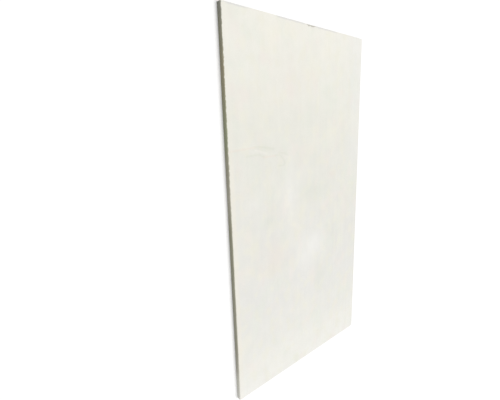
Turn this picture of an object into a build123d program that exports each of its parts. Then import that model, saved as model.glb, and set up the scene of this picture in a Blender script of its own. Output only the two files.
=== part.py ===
"""A square-edge drywall sheet, lying flat with its face up.

Millimetres. X runs across the width, Y along the length and Z up through the thickness.
The origin is the middle of the back, on the surface that the sheet lies on.

The sheet is one piece: a gypsum core bound in paper on the board line, which gives it
one section all along Y. The face paper runs round both long edges, so their arrises are
rounded, and folds in under the sheet. The back paper is stuck over those two folds and
stops short of the edges, so the laps lie one paper thickness above the floor. The two
short ends are cut square across.
"""

import os

from build123d import *

# Driving dimensions
sheet_width = 600.0
sheet_length = 1200.0
sheet_thickness = 15.0
face_arris_radius = 1.5
back_arris_radius = 1.0
lap_width = 18.0
back_paper_thickness = 0.3

# Half the section, which is the same on both sides of the middle
edge_x = sheet_width / 2
lap_start_x = edge_x - lap_width
half_outline = [
    (0, 0),
    (lap_start_x, 0),
    (lap_start_x, back_paper_thickness),
    (edge_x, back_paper_thickness),
    (edge_x, sheet_thickness),
    (0, sheet_thickness),
]

with BuildPart() as drywall_sheet:
    with BuildSketch(Plane.XZ) as section:
        with BuildLine():
            Polyline(*half_outline)
            mirror(about=Plane.YZ)
        make_face()
        # The face paper turns round the two long edges at the level of the face
        face_level = section.vertices().group_by(Axis.Y)[-1].sort_by(Axis.X)
        fillet([face_level[0], face_level[-1]], radius=face_arris_radius)
        # and again, more tightly, where it folds in under the sheet
        lap_level = section.vertices().group_by(Axis.Y)[1].sort_by(Axis.X)
        fillet([lap_level[0], lap_level[-1]], radius=back_arris_radius)
    extrude(amount=sheet_length / 2, both=True)

drywall_sheet.part.label = "drywall_sheet"

os.makedirs("parts", exist_ok=True)
export_step(drywall_sheet.part, "parts/drywall_sheet.step")
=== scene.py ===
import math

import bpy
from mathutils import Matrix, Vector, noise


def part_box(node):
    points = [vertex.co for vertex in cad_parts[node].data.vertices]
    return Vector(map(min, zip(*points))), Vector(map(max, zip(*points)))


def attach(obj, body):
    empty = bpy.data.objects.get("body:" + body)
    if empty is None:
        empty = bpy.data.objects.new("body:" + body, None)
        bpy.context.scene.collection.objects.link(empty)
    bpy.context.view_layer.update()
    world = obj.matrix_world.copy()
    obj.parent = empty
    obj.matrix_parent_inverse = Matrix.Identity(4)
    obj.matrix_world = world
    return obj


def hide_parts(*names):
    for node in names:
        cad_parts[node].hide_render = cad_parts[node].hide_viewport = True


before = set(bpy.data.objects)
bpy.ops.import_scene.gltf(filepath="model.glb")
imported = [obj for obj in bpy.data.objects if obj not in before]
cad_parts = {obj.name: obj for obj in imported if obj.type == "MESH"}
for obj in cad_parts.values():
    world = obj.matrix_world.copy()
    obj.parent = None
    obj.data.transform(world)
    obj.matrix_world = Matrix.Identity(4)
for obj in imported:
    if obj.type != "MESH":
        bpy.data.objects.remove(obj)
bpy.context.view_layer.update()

# Looks of a square-edge drywall sheet that lies face up on a pale floor.
#
# Metres, in the frame of the CAD part: X across the width, Y along the length, Z up.
# The sheet is one closed mesh with the part's section and its small real relief: rounded
# paper arrises, laps on the back, cut ends whose core crumbles back between the papers,
# a creased and a torn place in the face paper, and knocked corners.

MM = 0.001
NODE = "drywall_sheet"
BODY = "root"
PIECE = "drywall_board"

# The sheet's half width, half length and thickness come from the frame
EDGE_X, END_Y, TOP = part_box(NODE)[1]

# Its section, as in the part
FACE_ARRIS = 1.5 * MM
BACK_ARRIS = 1.0 * MM
LAP_WIDTH = 18 * MM
BACK_PAPER = 0.3 * MM

# The slope from the back paper up to a lap, and how thick each paper looks where it is cut
LAP_STEP = 0.2 * MM
CUT_PAPER = 0.4 * MM

# Relief of the folded long edges: slow swells, quick ripples, and dents where noise is high
EDGE_WORN_FROM = 5 * MM
EDGE_WORN_TO = 1 * MM
SWELL_DEPTH = 0.14 * MM
SWELL_LENGTH = 90 * MM
RIPPLE_DEPTH = 0.08 * MM
RIPPLE_LENGTH = 14 * MM
DENT_DEPTH = 0.5 * MM
DENT_LENGTH = 22 * MM
DENTED_ABOVE = (0.35, 0.7)

# Relief of the ends: the cut wanders, and between the papers the core has crumbled back
CUT_DEPTH = 0.12 * MM
CUT_LENGTH = 120 * MM
CUT_REACH = 6 * MM
CORE_BACK = 0.35 * MM
CRUMB_DEPTH = 0.2 * MM
CRUMB_SIZES = (9 * MM, 3 * MM)
CORE_SLOPE_UP = 0.15 * MM
CORE_SLOPE_ACROSS = 0.2 * MM

# Radius of each knocked corner, by its side in X and in Y, and how far its face is pressed in
KNOCKED_CORNERS = {(-1, 1): 2.6 * MM, (-1, -1): 2.0 * MM, (1, 1): 1.6 * MM, (1, -1): 3.0 * MM}
CORNER_SAG = 0.7 * MM
CORNER_REACH = 14 * MM

# Grid lines of the sheet's skin, in millimetres: in from the face and the long edges, up
# from the back, and in from the cut ends
ARRIS_LINES = (1.15, 0.8, 0.55, 0.4, 0.2, 0)
BACK_LINES = (0, 0.2, 0.4, 0.55, 0.8, 1.05)
END_LINES = (9, 7.5, 6, 4.5, 3.2, 2.2, 1.4, 0.7, 0)

# Steps of its grid elsewhere: small over the crease and the tear, large over plain face
CREASE_STEP_X = 3 * MM
CREASE_STEP_Y = 2 * MM
TEAR_STEP_X = 2.5 * MM
MIDDLE_STEP_X = 6 * MM
PLAIN_STEP_X = 9 * MM
PLAIN_STEP_Y = 7 * MM
LAP_STEP_X = 4 * MM
DEPTH_STEP = 0.9 * MM

# Faces that meet at a larger angle than this have a sharp edge between them
SHARP_FROM = math.radians(38)

# Camera: off the left long edge, looking down on the face
CAMERA_PLACE = Vector((-0.7649, 0.2960, 0.7889))
CAMERA_AIM = Vector((-0.0686, 0.0652, 0.0150))
CAMERA_ROLL = math.radians(-0.50)
LENS_MM = 23.0
SHIFT_X = -0.08
SHIFT_Y = -0.012

# Light: how bright the sky is, and the soft lamp's share, width and direction
AMBIENT = 0.46
SUN_SHARE = 0.56
SUN_WIDTH = math.radians(50)
SUN_FROM = Vector((0.32, -0.14, 1.0))

# Floor: its size in metres, how light it is to the sheet and to the camera, and the glow
# that makes it look white
FLOOR_SIZE = 60.0
FLOOR_BOUNCE = 0.78
FLOOR_WHITE = 0.92
FLOOR_LIFT = 0.12


# Small tools


def even_steps(low, high, step):
    """Values from low to high, both included, at most one step apart."""
    count = max(1, math.ceil((high - low) / step - 1e-9))
    return [low + (high - low) * i / count for i in range(count + 1)]


def joined_steps(*spans):
    """Joins spans of (low, high, step), each starting where the last one ends."""
    values = [spans[0][0]]
    for low, high, step in spans:
        values += even_steps(low, high, step)[1:]
    return values


def smooth_step(value, low, high):
    """0 below low, 1 above high and a smooth rise between them."""
    share = min(1.0, max(0.0, (value - low) / (high - low)))
    return share * share * (3 - 2 * share)


def wave(x, y, z, size, seed):
    """Smooth noise from -1 to 1 whose lumps are about this size."""
    place = Vector((x, y, z)) / size + Vector((seed, -seed, 2 * seed))
    return noise.noise(place)


def srgb(red, green, blue):
    """A colour written as 0 to 255, in the linear values that a shader takes."""
    linear = []
    for level in (red, green, blue):
        share = level / 255
        linear.append(share / 12.92 if share <= 0.04045 else ((share + 0.055) / 1.055) ** 2.4)
    return (*linear, 1.0)


def add_object(name, data):
    """A new object with this data, in the scene."""
    made = bpy.data.objects.new(name, data)
    bpy.context.scene.collection.objects.link(made)
    return made


# Marks on the face paper

# Strokes of a crease that runs in from the left long edge, each through points in
# millimetres from the middle of the sheet. The dark strokes' colour is painted shade in the
# crease, and the pale stroke is a painted highlight beside it
STROKES = {
    "crease_with_painted_shade": (
        [(-206, 228), (-182, 227), (-159, 223), (-135, 217)],
        [(-237, 202), (-216, 204), (-194, 204), (-175, 198)],
        [(-128, 199), (-111, 198), (-99, 187), (-91, 174), (-95, 165), (-116, 165)],
        [(-115, 206), (-94, 203), (-77, 197)],
    ),
    "rosy_stroke": (
        [(-300, 219), (-274, 221), (-250, 223), (-225, 225), (-204, 227)],
        [(-175, 196), (-152, 196), (-128, 198)],
    ),
    "painted_highlight_stroke": ([(-204, 218), (-182, 212), (-163, 206)],),
}
STROKE_HALF_WIDTH = 3.0 * MM
STROKE_UNEVENNESS = 0.5
STROKE_LUMPS = 18 * MM

# How deep the dark strokes are, the rosy ones' share of it, and where the crease lies
CREASE_DEPTH = 0.6 * MM
ROSY_SHARE = 0.6
CREASE_END_X = -60 * MM
CREASED_Y = (155 * MM, 237 * MM)

# Soft patches: middle x, middle y, half width and half length in millimetres, and strength
PATCHES = {
    "pale_patch": (
        (-64, 62, 34, 86, 0.6),
        (-210, 58, 30, 40, 0.35),
        (44, -148, 56, 48, 0.85),
        (0, -170, 50, 66, 0.65),
        (-286, -570, 28, 70, 0.7),
    ),
    "dull_patch": (
        (57, 58, 66, 36, 0.8),
        (83, -280, 30, 60, 0.7),
        (-148, 6, 22, 42, 0.5),
        (-161, -16, 18, 18, 0.8),
        (-134, -166, 40, 40, 0.35),
        (146, -120, 26, 38, 0.35),
        (-14, 186, 30, 30, 0.35),
        (-170, 222, 40, 12, 0.4),
        (-190, 276, 40, 26, 0.3),
        (-268, 582, 34, 28, 0.5),
    ),
    "rosy_patch": (
        (-136, -145, 42, 60, 0.8),
        (227, -26, 24, 50, 0.5),
        (141, 109, 20, 16, 0.6),
        (-60, 430, 110, 70, 0.3),
    ),
}

# The torn place at the far end
TEAR_MIDDLE_X = 28 * MM
TEAR_HALF_WIDTH = 21 * MM
TEAR_REACH = 6.5 * MM
TEAR_LEAST_REACH = 0.3 * MM
TEAR_RAGGEDNESS = 0.7
TEAR_LUMPS = 7 * MM
TEAR_DEPTH = 1.6 * MM
TORN_X = (0, 60 * MM)

# Stretches of the far end where a grey line runs along the cut, and how they fade at their own
# ends, in millimetres along X
GREY_END_STRETCHES = ((-284, -216), (-114, 0), (49, 154))
GREY_END_FADE = (-8, 12)

# How far the grey reaches in from the end, how much that wanders, and from what share of
# the reach outwards the grey is full
GREY_END_REACH = 6 * MM
GREY_END_WANDER = 2 * MM
GREY_END_LUMPS = 15 * MM
GREY_END_FULL = 0.4

# Soil and painted shade beside the long edges: where they start to fade and where they end,
# in from the edge, and how much that end wanders
BACK_SOIL_AND_SHADE = (0.4 * MM, 7 * MM, 2 * MM)
LEFT_FACE_SOIL_AND_SHADE = (0.4 * MM, 6 * MM, 1.1 * MM)
RIGHT_FACE_SOIL_AND_SHADE = (0.1 * MM, 0.8 * MM, 0)
SOIL_AND_SHADE_LUMPS = (14 * MM, 45 * MM)


def near_line(x, y, points):
    """Distance from a place to a line through the given points, in metres."""
    place = Vector((x, y))
    best = math.inf
    for start, end in zip(points, points[1:]):
        a = Vector(start) * MM
        b = Vector(end) * MM
        share = (place - a).dot(b - a) / (b - a).length_squared
        foot = a.lerp(b, min(1.0, max(0.0, share)))
        best = min(best, (place - foot).length)
    return best


def strokes(x, y, lines):
    """1 in the middle of a stroke, falling to 0 beside it."""
    if not CREASED_Y[0] < y < CREASED_Y[1]:
        return 0.0
    distance = min(near_line(x, y, points) for points in lines)
    unevenness = 1 + STROKE_UNEVENNESS * wave(x, y, 0, STROKE_LUMPS, seed=10)
    return math.exp(-((distance / (STROKE_HALF_WIDTH * unevenness)) ** 2))


def crease(x, y):
    """How deep the face paper is creased at a place, from 0 to 1."""
    dark = strokes(x, y, STROKES["crease_with_painted_shade"])
    rosy = strokes(x, y, STROKES["rosy_stroke"])
    return max(dark, ROSY_SHARE * rosy)


def patches(x, y, places):
    """How strongly the soft patches show at a place, from 0 to 1."""
    showing = 0.0
    for middle_x, middle_y, half_width, half_length, strength in places:
        across = (x / MM - middle_x) / half_width
        along = (y / MM - middle_y) / half_length
        showing = max(showing, strength * math.exp(-(across**2) - along**2))
    return showing


def tear(x, y):
    """How far past the torn paper's ragged outline a place at the far end is, from 0 to 1."""
    across = (x - TEAR_MIDDLE_X) / TEAR_HALF_WIDTH
    ragged = 1 + TEAR_RAGGEDNESS * wave(x, 0, 0, TEAR_LUMPS, seed=4)
    reach = TEAR_REACH * math.exp(-(across**4)) * ragged
    if reach <= TEAR_LEAST_REACH:
        return 0.0
    return smooth_step(y, END_Y - reach, END_Y - reach / 10)


def soil_and_shade(x, y, z):
    """How strongly soil and painted shade show at a place beside a long edge: 1 at the edge,
    falling to 0 on the face.
    """
    if z < TOP / 2:
        fades_from, ends_at, wander = BACK_SOIL_AND_SHADE
    elif x > 0:
        fades_from, ends_at, wander = RIGHT_FACE_SOIL_AND_SHADE
    else:
        fades_from, ends_at, wander = LEFT_FACE_SOIL_AND_SHADE
    ragged = sum(wave(x, y, 0, size, seed=8) for size in SOIL_AND_SHADE_LUMPS)
    return 1 - smooth_step(EDGE_X - abs(x), fades_from, ends_at + wander * ragged)


def far_end_grey(x, y):
    """How grey the face is along the far end, from 0 to 1."""
    along = 0.0
    for start, stop in GREY_END_STRETCHES:
        inside = min(x / MM - start, stop - x / MM)
        along = max(along, smooth_step(inside, *GREY_END_FADE))
    reach = GREY_END_REACH + GREY_END_WANDER * wave(x, 0, 0, GREY_END_LUMPS, seed=9)
    return along * smooth_step(y, END_Y - reach, END_Y - GREY_END_FULL * reach)


# Shape of the sheet


def rounded(first, second, limit_1, limit_2, radius):
    """Pulls a place in the corner of two limits onto a round of this radius."""
    past_1 = first - (limit_1 - radius)
    past_2 = second - (limit_2 - radius)
    if past_1 <= 0 or past_2 <= 0:
        return first, second
    scale = max(past_1, past_2) / math.hypot(past_1, past_2)
    return limit_1 - radius + past_1 * scale, limit_2 - radius + past_2 * scale


def on_section(x, z):
    """Moves a place on half a plain box onto half the sheet's section."""
    lap_x = EDGE_X - LAP_WIDTH
    lift = BACK_PAPER * smooth_step(x, lap_x, lap_x + LAP_STEP)
    z = lift + z * (TOP - lift) / TOP
    if z > TOP / 2:
        return rounded(x, z, EDGE_X, TOP, FACE_ARRIS)
    x, upside_down = rounded(x, -z, EDGE_X, -lift, BACK_ARRIS)
    return x, -upside_down


def edge_wear(side_x, x, y, z):
    """How far in the folded long edge has wandered and been dented at a place."""
    nearness = smooth_step(x, EDGE_X - EDGE_WORN_FROM, EDGE_X - EDGE_WORN_TO)
    swell = SWELL_DEPTH * (1 + wave(side_x, y, 0, SWELL_LENGTH, seed=1))
    ripple = RIPPLE_DEPTH * (1 + wave(side_x, y, z, RIPPLE_LENGTH, seed=2))
    dented = smooth_step(wave(side_x, y, 0, DENT_LENGTH, seed=3), *DENTED_ABOVE)
    dent = DENT_DEPTH * dented * (z / TOP) ** 2
    return (swell + ripple + dent) * nearness


def end_wear(place):
    """How far in the cut end lies, and its core where it has crumbled between the papers."""
    side_y = math.copysign(1, place.y)
    x, y, z = abs(place.x), abs(place.y), place.z
    wander = CUT_DEPTH * (1 + wave(place.x, side_y, 0, CUT_LENGTH, seed=5))
    worn = wander * smooth_step(y, END_Y - CUT_REACH, END_Y)
    if y < END_Y - 0.01 * MM:
        return worn

    # Only the cut itself has crumbled, clear of the papers on the face, back and long edges
    core = smooth_step(z, CUT_PAPER, CUT_PAPER + CORE_SLOPE_UP)
    core *= 1 - smooth_step(z, TOP - CUT_PAPER - CORE_SLOPE_UP, TOP - CUT_PAPER)
    core *= 1 - smooth_step(x, EDGE_X - CUT_PAPER - CORE_SLOPE_ACROSS, EDGE_X - CUT_PAPER)
    crumbled = CORE_BACK
    for seed, size in enumerate(CRUMB_SIZES, start=6):
        crumbled += CRUMB_DEPTH * wave(place.x, side_y, z, size, seed)
    return worn + crumbled * core


def shaped(place):
    """Where a place on the plain box lies on the real sheet."""
    side_x = math.copysign(1, place.x)
    side_y = math.copysign(1, place.y)
    x, z = on_section(abs(place.x), place.z)
    x -= edge_wear(side_x, x, place.y, z)
    y = abs(place.y) - end_wear(place)

    # Knocked corners
    x, y = rounded(x, y, EDGE_X, END_Y, KNOCKED_CORNERS[side_x, side_y])
    to_corner = math.hypot(EDGE_X - x, END_Y - y)
    z -= CORNER_SAG * (1 - smooth_step(to_corner, 0, CORNER_REACH)) * (z / TOP) ** 2

    # The crease and the tear in the face paper
    x *= side_x
    y *= side_y
    pressed_in = CREASE_DEPTH * crease(x, y) + TEAR_DEPTH * tear(x, y)
    z -= pressed_in * smooth_step(z, TOP / 2, TOP)
    return Vector((x, y, z))


def rim_to_rim(rim, *spans):
    """Grid lines from one rim over the spans to the other rim, which mirrors it."""
    return [-line for line in reversed(rim)] + joined_steps(*spans)[1:] + rim[1:]


def grid_lines():
    """Where the skin of the plain box is cut along X, Y and Z."""
    lap_x = EDGE_X - LAP_WIDTH
    rim_x = [lap_x]
    rim_x += even_steps(lap_x + LAP_STEP, EDGE_X - FACE_ARRIS, LAP_STEP_X)
    rim_x += [EDGE_X - inward * MM for inward in ARRIS_LINES]
    xs = rim_to_rim(
        rim_x,
        (-lap_x, CREASE_END_X, CREASE_STEP_X),
        (CREASE_END_X, TORN_X[0], MIDDLE_STEP_X),
        (TORN_X[0], TORN_X[1], TEAR_STEP_X),
        (TORN_X[1], lap_x, PLAIN_STEP_X),
    )

    rim_y = [END_Y - inward * MM for inward in END_LINES]
    ys = rim_to_rim(
        rim_y,
        (-rim_y[0], CREASED_Y[0], PLAIN_STEP_Y),
        (CREASED_Y[0], CREASED_Y[1], CREASE_STEP_Y),
        (CREASED_Y[1], rim_y[0], PLAIN_STEP_Y),
    )

    zs = [up * MM for up in BACK_LINES]
    zs += even_steps(zs[-1], TOP - FACE_ARRIS, DEPTH_STEP)[1:]
    zs += [TOP - below * MM for below in ARRIS_LINES]
    return xs, ys, zs


def box_skin(xs, ys, zs):
    """Corners and quads of a closed box cut at these values, with each quad's side."""
    last = [len(values) - 1 for values in (xs, ys, zs)]
    corners = {}
    quads = []
    sides = []
    for axis, side_names in enumerate((("left", "right"), ("near", "far"), ("back", "face"))):
        across, along = (axis + 1) % 3, (axis + 2) % 3
        for level, side in zip((0, last[axis]), side_names):
            turn = ((0, 0), (1, 0), (1, 1), (0, 1)) if level else ((0, 0), (0, 1), (1, 1), (1, 0))
            for a in range(last[across]):
                for b in range(last[along]):
                    quad = []
                    for step_a, step_b in turn:
                        key = [0, 0, 0]
                        key[axis] = level
                        key[across] = a + step_a
                        key[along] = b + step_b
                        quad.append(corners.setdefault(tuple(key), len(corners)))
                    quads.append(quad)
                    sides.append(side)
    places = [Vector((xs[i], ys[j], zs[k])) for i, j, k in corners]
    return places, quads, sides


def add_marks(mesh, plain):
    """Writes the marks onto the mesh's corners, worked out on the plain box."""
    marks = {
        "soil_and_shade": [soil_and_shade(*place) for place in plain],
        "far_end_grey": [far_end_grey(place.x, place.y) for place in plain],
        "tear": [tear(place.x, place.y) for place in plain],
    }
    for name, lines in STROKES.items():
        marks[name] = [strokes(place.x, place.y, lines) for place in plain]
    for name, places in PATCHES.items():
        marks[name] = [patches(place.x, place.y, places) for place in plain]
    for name, values in marks.items():
        attribute = mesh.attributes.new(name, "FLOAT", "POINT")
        attribute.data.foreach_set("value", values)


# Materials


class Surface:
    """A new material's node tree, with short ways to add what these papers need."""

    def __init__(self, name):
        self.material = bpy.data.materials.new(name)
        self.material.use_nodes = True
        self.tree = self.material.node_tree
        self.shader = self.tree.nodes["Principled BSDF"]
        self.place = self.node("ShaderNodeTexCoord").outputs["Object"]

    def node(self, kind, **settings):
        """A new node of this kind with these settings."""
        made = self.tree.nodes.new(kind)
        for name, value in settings.items():
            setattr(made, name, value)
        return made

    def put(self, socket, value):
        """Links an output to a socket, or sets the socket to a plain value."""
        if isinstance(value, bpy.types.NodeSocket):
            self.tree.links.new(value, socket)
        else:
            socket.default_value = value

    def math(self, operation, first, second):
        """The result of a sum, a product or the like."""
        made = self.node("ShaderNodeMath", operation=operation)
        self.put(made.inputs[0], first)
        self.put(made.inputs[1], second)
        return made.outputs[0]

    def lumps(self, size, detail, seed, roughness=0.5):
        """Noise around 0.5 whose lumps are this large in millimetres along X, Y and Z."""
        mapping = self.node("ShaderNodeMapping")
        self.put(mapping.inputs["Vector"], self.place)
        mapping.inputs["Location"].default_value = (seed, -seed, seed / 2)
        mapping.inputs["Scale"].default_value = [1 / (length * MM) for length in size]
        made = self.node("ShaderNodeTexNoise")
        self.put(made.inputs["Vector"], mapping.outputs["Vector"])
        made.inputs["Scale"].default_value = 1.0
        made.inputs["Detail"].default_value = detail
        made.inputs["Roughness"].default_value = roughness
        return made.outputs["Fac"]

    def spread(self, value, low, high, to_low=0.0, to_high=1.0):
        """Spreads the stretch from low to high over another one, and stops at its ends."""
        made = self.node("ShaderNodeMapRange", interpolation_type="SMOOTHSTEP")
        self.put(made.inputs["Value"], value)
        self.put(made.inputs["From Min"], low)
        self.put(made.inputs["From Max"], high)
        self.put(made.inputs["To Min"], to_low)
        self.put(made.inputs["To Max"], to_high)
        return made.outputs["Result"]

    def mark(self, name):
        """A value that the mesh carries on its corners."""
        return self.node("ShaderNodeAttribute", attribute_name=name).outputs["Fac"]

    def tones(self, along, stops):
        """A colour that changes along Y, from stops of Y in millimetres and a colour."""
        share = self.node("ShaderNodeMapRange")
        self.put(share.inputs["Value"], along)
        share.inputs["From Min"].default_value = -END_Y
        share.inputs["From Max"].default_value = END_Y
        made = self.node("ShaderNodeValToRGB")
        self.put(made.inputs["Fac"], share.outputs["Result"])
        ramp = made.color_ramp
        ramp.interpolation = "EASE"
        for place, (along_mm, colour) in enumerate(stops):
            position = (along_mm * MM + END_Y) / (2 * END_Y)
            if place > 1:
                ramp.elements.new(position)
            ramp.elements[place].position = position
            ramp.elements[place].color = srgb(*colour)
        return made.outputs["Color"]

    def mix(self, factor, first, second, blend="MIX"):
        """The second colour over the first one by this factor."""
        made = self.node("ShaderNodeMix", data_type="RGBA", blend_type=blend)
        self.put(made.inputs[0], factor)
        self.put(made.inputs[6], first)
        self.put(made.inputs[7], second)
        return made.outputs[2]

    def tint(self, colour, tint, lumps, low, high, strength):
        """A colour with a tint over it where the lumps rise from low to high."""
        return self.mix(self.spread(lumps, low, high, 0.0, strength), colour, srgb(*tint))

    def shade(self, colour, amount):
        """A colour times a grey value that stays near 1."""
        grey = self.node("ShaderNodeCombineColor")
        for socket in grey.inputs[:3]:
            self.put(socket, amount)
        return self.mix(1.0, colour, grey.outputs["Color"], "MULTIPLY")

    def finish(self, colour, roughness, height, bump_mm, specular=0.3):
        """Puts the colour, the roughness and a bump this high on the shader."""
        bump = self.node("ShaderNodeBump")
        bump.inputs["Strength"].default_value = 1.0
        bump.inputs["Distance"].default_value = bump_mm * MM
        self.put(bump.inputs["Height"], height)
        self.put(self.shader.inputs["Base Color"], colour)
        self.put(self.shader.inputs["Roughness"], roughness)
        self.put(self.shader.inputs["Normal"], bump.outputs["Normal"])
        self.shader.inputs["Specular IOR Level"].default_value = specular
        return self.material


# Colours along the sheet, from the near end to the far end. The face's carry painted light as
# well as
# its tone: lighter towards both ends and darker in the middle
FACE_TONE_AND_PAINTED_LIGHT = (
    (-600, (240, 239, 233)),
    (-520, (238, 237, 230)),
    (-420, (234, 233, 227)),
    (-300, (232, 231, 226)),
    (-100, (231, 230, 224)),
    (150, (232, 231, 223)),
    (300, (233, 232, 223)),
    (450, (237, 236, 227)),
    (600, (240, 238, 229)),
)
# The long edges' colours are partly soil on their paper and partly painted shade
LONG_EDGE_SOIL_AND_SHADE = (
    (-600, (233, 232, 224)),
    (-535, (222, 220, 208)),
    (-470, (188, 185, 171)),
    (-400, (168, 166, 148)),
    (-20, (160, 159, 138)),
    (75, (177, 174, 158)),
    (180, (165, 162, 142)),
    (250, (152, 156, 128)),
    (440, (157, 150, 125)),
    (520, (148, 146, 126)),
    (600, (141, 140, 129)),
)

# Cloudy tints of the face paper, and its flecks
FACE_FLECK = (176, 166, 146)
GREEN_TINT = (229, 233, 221)
ROSE_TINT = (240, 231, 224)
CREAM_TINT = (241, 238, 222)
STRAW_TINT = (237, 235, 219)

# Strength and colour of each patch and stroke on it: the dark stroke's colour is painted shade in
# the crease, and the pale stroke's a painted highlight beside it
FACE_MARKS = {
    "pale_patch": (0.7, (243, 242, 238)),
    "dull_patch": (0.6, (223, 226, 214)),
    "rosy_patch": (0.5, (238, 226, 218)),
    "rosy_stroke": (0.5, (236, 225, 214)),
    "painted_highlight_stroke": (0.5, (243, 240, 232)),
    "crease_with_painted_shade": (0.35, (219, 222, 206)),
}

# Its margins: a warm strip on the left and a cooler one along the far half of the right,
# with how far in from the long edge each starts to fade and ends
WARM_TINT = (243, 237, 222)
WARM_MARGIN = (12 * MM, 24 * MM)
COOL_TINT = (237, 237, 235)
COOL_MARGIN = (30 * MM, 110 * MM)

# Soil and painted shade on the long edges, and the grey line and the torn place at the far end
RIGHT_EDGE_TONE = (166, 164, 147)
RUBBED_TINT = (190, 187, 171)
GREY_END_TONE = (208, 208, 210)
# The torn plies and the bare core carry painted shade in the tear as well as their own colours
TORN_PLY_AND_SHADE = (194, 191, 180)
BARE_CORE_AND_SHADE = (206, 203, 194)

# Darkest and lightest tone of the other materials, with what lies in them
BACK_TONES = ((186, 178, 162), (199, 192, 177))
BACK_FLECK = (120, 108, 90)
CUT_PAPER_TONES = ((176, 166, 147), (205, 198, 182))
GYPSUM_TONES = ((226, 224, 217), (238, 236, 230))
# The bubbles' darker tone is painted shade inside them
BUBBLE_PAINTED_SHADE = (196, 193, 184)
BUBBLE_SPACING = 1.3 * MM


def face_tints(s, across, along):
    """Ivory with soft cloudy tints over the tone along the length, which carries painted light,
    and two tinted margins.
    """
    green = s.lumps((70, 100, 100), detail=3, seed=3.1)
    rose = s.lumps((60, 90, 100), detail=3, seed=7.7)
    cream = s.lumps((100, 160, 100), detail=2, seed=12.4)
    straw = s.lumps((36, 50, 30), detail=1.5, seed=22.9)
    colour = s.tones(along, FACE_TONE_AND_PAINTED_LIGHT)
    colour = s.tint(colour, GREEN_TINT, green, 0.5, 0.72, strength=0.4)
    colour = s.tint(colour, ROSE_TINT, rose, 0.5, 0.72, strength=0.4)
    colour = s.tint(colour, CREAM_TINT, cream, 0.52, 0.75, strength=0.4)
    colour = s.tint(colour, STRAW_TINT, straw, 0.5, 0.66, strength=0.35)

    full, none = WARM_MARGIN
    beside_left = s.spread(across, -EDGE_X + full, -EDGE_X + none, 0.4, 0.0)
    warm = s.math("MULTIPLY", beside_left, s.spread(along, 0.1, 0.3, 1.0, 0.3))
    colour = s.mix(warm, colour, srgb(*WARM_TINT))
    full, none = COOL_MARGIN
    beside_right = s.spread(across, EDGE_X - none, EDGE_X - full, 0.0, 0.35)
    cool = s.math("MULTIPLY", beside_right, s.spread(along, 0.05, 0.2))
    return s.mix(cool, colour, srgb(*COOL_TINT))


def face_marks(s, colour):
    """The pale, dull and rosy patches, and the strokes of the crease with their painted shade and
    highlight.
    """
    for name, (strength, tint) in FACE_MARKS.items():
        showing = s.math("MULTIPLY", s.mark(name), strength)
        colour = s.mix(showing, colour, srgb(*tint))
    return colour


def face_grain(s, colour, fibres):
    """The paper's cloudy formation, machine streaks, fibres and recycled flecks."""
    formation = s.spread(s.lumps((30, 40, 30), detail=3, seed=20.1), 0.3, 0.7, 0.989, 1.011)
    streaks = s.spread(s.lumps((12, 600, 500), detail=2, seed=1.3), 0.3, 0.7, 0.993, 1.005)
    fibre_shade = s.spread(fibres, 0.25, 0.75, 0.965, 1.025)
    shades = s.math("MULTIPLY", formation, s.math("MULTIPLY", streaks, fibre_shade))
    colour = s.shade(colour, shades)
    flecks = s.lumps((0.9, 2.2, 1), detail=1, seed=9.2)
    return s.tint(colour, FACE_FLECK, flecks, 0.76, 0.82, strength=0.4)


def long_edge_soil_and_shade(s, colour, across, along):
    """Soil and painted shade on the long edges, with rubbed places and stains, up to a nicked
    line.
    """
    edge = s.tones(along, LONG_EDGE_SOIL_AND_SHADE)

    # The right long edge keeps little of the left one's changes of tone
    on_right = s.spread(across, 0.0, 0.01, 0.0, 0.75)
    edge = s.mix(on_right, edge, srgb(*RIGHT_EDGE_TONE))
    rubbed = s.lumps((300, 50, 5), detail=3, seed=6.1)
    edge = s.tint(edge, RUBBED_TINT, rubbed, 0.5, 0.75, strength=0.35)
    stains = s.lumps((10, 30, 1.2), detail=3, seed=8.8, roughness=0.6)
    edge = s.shade(edge, s.spread(stains, 0.3, 0.7, 0.92, 1.06))

    # The line is rougher along the far half
    furthest = s.spread(along, -0.1, 0.15, 0.20, 0.04)
    nearest = s.spread(along, -0.1, 0.15, 0.32, 0.44)
    nicks = s.lumps((14, 10, 14), detail=5, seed=15.3, roughness=0.7)
    clean_below = s.spread(nicks, 0.36, 0.64, furthest, nearest)
    soiled_and_shaded_above = s.math("ADD", clean_below, 0.56)
    return s.mix(s.spread(s.mark("soil_and_shade"), clean_below, soiled_and_shaded_above), colour, edge)


def far_end_damage(s, colour):
    """A grey line along the far end, and the torn place with its ragged plies and bare core,
    darkened with painted shade.
    """
    greyed_end = s.math("MULTIPLY", s.mark("far_end_grey"), 0.45)
    colour = s.mix(greyed_end, colour, srgb(*GREY_END_TONE))
    ragged = s.spread(s.lumps((3, 3, 3), detail=4, seed=14.2, roughness=0.7), 0.2, 0.8, 0.4, 1.6)
    torn = s.math("MULTIPLY", s.mark("tear"), ragged)
    colour = s.mix(s.spread(torn, 0.12, 0.3), colour, srgb(*TORN_PLY_AND_SHADE))
    return s.mix(s.spread(torn, 0.6, 0.75), colour, srgb(*BARE_CORE_AND_SHADE))


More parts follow.
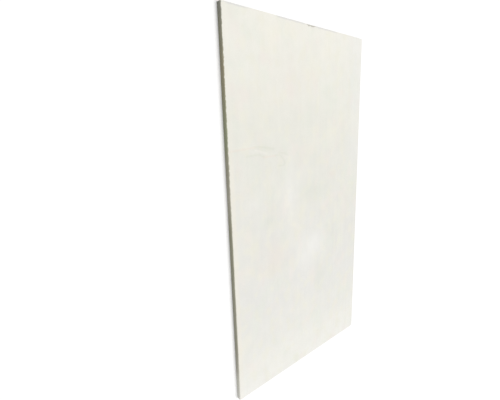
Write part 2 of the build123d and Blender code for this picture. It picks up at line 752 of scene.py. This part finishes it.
def face_paper():
    """Ivory face paper with faint tints, and dark with soil and painted shade where it turns
    round a long edge.
    """
    s = Surface("face_paper")
    axes = s.node("ShaderNodeSeparateXYZ")
    s.put(axes.inputs[0], s.place)
    across = axes.outputs["X"]
    along = axes.outputs["Y"]
    fibres = s.lumps((0.6, 3, 1), detail=4, seed=5.5, roughness=0.7)

    colour = face_tints(s, across, along)
    colour = face_marks(s, colour)
    colour = face_grain(s, colour, fibres)
    colour = long_edge_soil_and_shade(s, colour, across, along)
    colour = far_end_damage(s, colour)

    roughness = s.spread(s.lumps((50, 120, 100), detail=3, seed=4.4), 0.3, 0.7, 0.78, 0.92)
    pulp = s.lumps((4, 6, 4), detail=3, seed=11.0)
    height = s.math("ADD", s.math("MULTIPLY", fibres, 0.35), s.math("MULTIPLY", pulp, 0.65))
    return s.finish(colour, roughness, height, bump_mm=0.12)


def back_paper():
    """Grey-brown back paper with longer, darker recycled fibres."""
    s = Surface("back_paper")
    dark, light = BACK_TONES
    clouds = s.spread(s.lumps((120, 200, 100), detail=4, seed=2.5), 0.35, 0.65)
    colour = s.mix(clouds, srgb(*dark), srgb(*light))
    fibres = s.lumps((0.8, 4.5, 1), detail=4, seed=5.1, roughness=0.7)
    fibre_shade = s.spread(fibres, 0.25, 0.75, 0.90, 1.07)
    streaks = s.spread(s.lumps((8, 600, 500), detail=2, seed=1.9), 0.3, 0.7, 0.97, 1.02)
    colour = s.shade(colour, s.math("MULTIPLY", streaks, fibre_shade))
    flecks = s.lumps((1, 3.5, 1), detail=1, seed=3.3)
    colour = s.tint(colour, BACK_FLECK, flecks, 0.70, 0.78, strength=0.6)
    roughness = s.spread(s.lumps((60, 100, 100), detail=3, seed=4.0), 0.3, 0.7, 0.82, 0.95)
    return s.finish(colour, roughness, fibres, bump_mm=0.15)


def cut_paper():
    """The papers' own edges at the cut ends, a little fluffy and browner than their faces."""
    s = Surface("cut_paper")
    dark, light = CUT_PAPER_TONES
    fuzz = s.lumps((1.5, 1.5, 0.6), detail=4, seed=6.6, roughness=0.7)
    colour = s.mix(s.spread(fuzz, 0.3, 0.7), srgb(*dark), srgb(*light))
    return s.finish(colour, s.spread(fuzz, 0.3, 0.7, 0.85, 0.98), fuzz, bump_mm=0.2)


def gypsum_core():
    """Cut gypsum: pale and chalky, with air bubbles of many sizes darkened with painted shade,
    and a crumbly grain.
    """
    s = Surface("gypsum_core")
    dark, light = GYPSUM_TONES
    clouds = s.spread(s.lumps((40, 40, 6), detail=4, seed=1.7), 0.35, 0.65)
    colour = s.mix(clouds, srgb(*dark), srgb(*light))

    # Each cell of the pattern holds one round bubble, whose radius is drawn from its colour, and
    # whose darker tone is painted shade
    cells = s.node("ShaderNodeTexVoronoi", feature="F1")
    s.put(cells.inputs["Vector"], s.place)
    cells.inputs["Scale"].default_value = 1 / BUBBLE_SPACING
    chance = s.node("ShaderNodeSeparateColor")
    s.put(chance.inputs[0], cells.outputs["Color"])
    radius = s.spread(chance.outputs["Red"], 0.3, 1.0, 0.04, 0.34)
    rim = s.math("MULTIPLY", radius, 0.55)
    solid = s.spread(cells.outputs["Distance"], rim, radius)
    colour = s.mix(solid, srgb(*BUBBLE_PAINTED_SHADE), colour)

    grit = s.lumps((1.5, 1.5, 1), detail=5, seed=2.8, roughness=0.7)
    colour = s.shade(colour, s.spread(grit, 0.25, 0.75, 0.93, 1.04))
    height = s.math("ADD", s.math("MULTIPLY", solid, 0.6), grit)
    roughness = s.spread(grit, 0.3, 0.7, 0.88, 0.98)
    return s.finish(colour, roughness, height, bump_mm=0.5, specular=0.2)


# The board


def covering(side, middle):
    """What makes the material of a quad on this side of the plain box, by its middle."""
    inward = EDGE_X - abs(middle.x)
    if side == "back" and inward > LAP_WIDTH - LAP_STEP:
        return back_paper
    if side not in ("near", "far"):
        return face_paper
    between_papers = CUT_PAPER < middle.z < TOP - CUT_PAPER
    return gypsum_core if between_papers and inward >= CUT_PAPER else cut_paper


def board():
    """The sheet: one closed skin, bent from a plain box, with its marks and materials."""
    plain, quads, sides = box_skin(*grid_lines())
    mesh = bpy.data.meshes.new(PIECE)
    mesh.from_pydata([shaped(place) for place in plain], [], quads)
    add_marks(mesh, plain)

    coverings = (face_paper, back_paper, cut_paper, gypsum_core)
    for make_material in coverings:
        mesh.materials.append(make_material())
    slots = []
    for quad, side in zip(quads, sides):
        middle = sum((plain[corner] for corner in quad), Vector()) / len(quad)
        slots.append(coverings.index(covering(side, middle)))
    mesh.polygons.foreach_set("material_index", slots)
    mesh.polygons.foreach_set("use_smooth", [True] * len(quads))
    mesh.set_sharp_from_angle(angle=SHARP_FROM)

    piece = add_object(PIECE, mesh)
    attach(piece, BODY)
    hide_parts(NODE)


# Floor, light and camera


def seen_directly(tree):
    """1 on rays from the camera and on mirrored or passed ones, 0 on those that light things."""
    path = tree.nodes.new("ShaderNodeLightPath")
    total = path.outputs["Is Camera Ray"]
    for name in ("Is Glossy Ray", "Is Transmission Ray"):
        most = tree.nodes.new("ShaderNodeMath")
        most.operation = "MAXIMUM"
        tree.links.new(total, most.inputs[0])
        tree.links.new(path.outputs[name], most.inputs[1])
        total = most.outputs[0]
    return total


def diffuse(tree, lightness):
    """A matt grey shader of this lightness."""
    made = tree.nodes.new("ShaderNodeBsdfDiffuse")
    made.inputs["Color"].default_value = (lightness, lightness, lightness, 1)
    return made.outputs[0]


def floor_material():
    """Throws less light back on the sheet than it shows to the camera."""
    material = bpy.data.materials.new("pale_floor")
    material.use_nodes = True
    tree = material.node_tree
    tree.nodes.clear()
    lift = tree.nodes.new("ShaderNodeEmission")
    lift.inputs["Strength"].default_value = FLOOR_LIFT
    lifted = tree.nodes.new("ShaderNodeAddShader")
    tree.links.new(diffuse(tree, FLOOR_WHITE), lifted.inputs[0])
    tree.links.new(lift.outputs[0], lifted.inputs[1])
    choice = tree.nodes.new("ShaderNodeMixShader")
    tree.links.new(seen_directly(tree), choice.inputs[0])
    tree.links.new(diffuse(tree, FLOOR_BOUNCE), choice.inputs[1])
    tree.links.new(lifted.outputs[0], choice.inputs[2])
    out = tree.nodes.new("ShaderNodeOutputMaterial")
    tree.links.new(choice.outputs[0], out.inputs[0])
    return material


def floor():
    """A pale floor that is white where light reaches it and keeps the sheet's soft shadow."""
    half = FLOOR_SIZE / 2
    corners = [(-half, -half, 0), (half, -half, 0), (half, half, 0), (-half, half, 0)]
    mesh = bpy.data.meshes.new("floor")
    mesh.from_pydata(corners, [], [(0, 1, 2, 3)])
    mesh.materials.append(floor_material())
    add_object("floor", mesh)


def sky():
    """An even pale sky, which is white where it is seen."""
    world = bpy.data.worlds.new("studio")
    bpy.context.scene.world = world
    world.use_nodes = True
    tree = world.node_tree
    strength = tree.nodes.new("ShaderNodeMix")
    tree.links.new(seen_directly(tree), strength.inputs["Factor"])
    strength.inputs["A"].default_value = AMBIENT
    strength.inputs["B"].default_value = 1.0
    background = tree.nodes["Background"]
    background.inputs["Color"].default_value = (1, 1, 1, 1)
    tree.links.new(strength.outputs[0], background.inputs["Strength"])


def lamp():
    """One very soft lamp from above, a little to the right."""
    data = bpy.data.lights.new("softbox", "SUN")
    data.angle = SUN_WIDTH
    data.energy = SUN_SHARE * math.pi / SUN_FROM.normalized().z
    add_object("softbox", data).rotation_euler = SUN_FROM.to_track_quat("Z", "Y").to_euler()


def camera():
    """Looks along its aim with the sheet's length upright in the picture."""
    data = bpy.data.cameras.new("camera")
    data.lens = LENS_MM
    data.shift_x = SHIFT_X
    data.shift_y = SHIFT_Y
    along_sheet = Vector((0, 1, 0))
    back = (CAMERA_PLACE - CAMERA_AIM).normalized()
    right = along_sheet.cross(back).normalized()
    up = back.cross(right)
    turned = Matrix((right, up, back)).transposed() @ Matrix.Rotation(CAMERA_ROLL, 3, "Z")
    made = add_object("camera", data)
    made.matrix_world = Matrix.Translation(CAMERA_PLACE) @ turned.to_4x4()
    bpy.context.scene.camera = made


board()
floor()
sky()
lamp()
camera()
bpy.context.scene.view_settings.view_transform = "Standard"
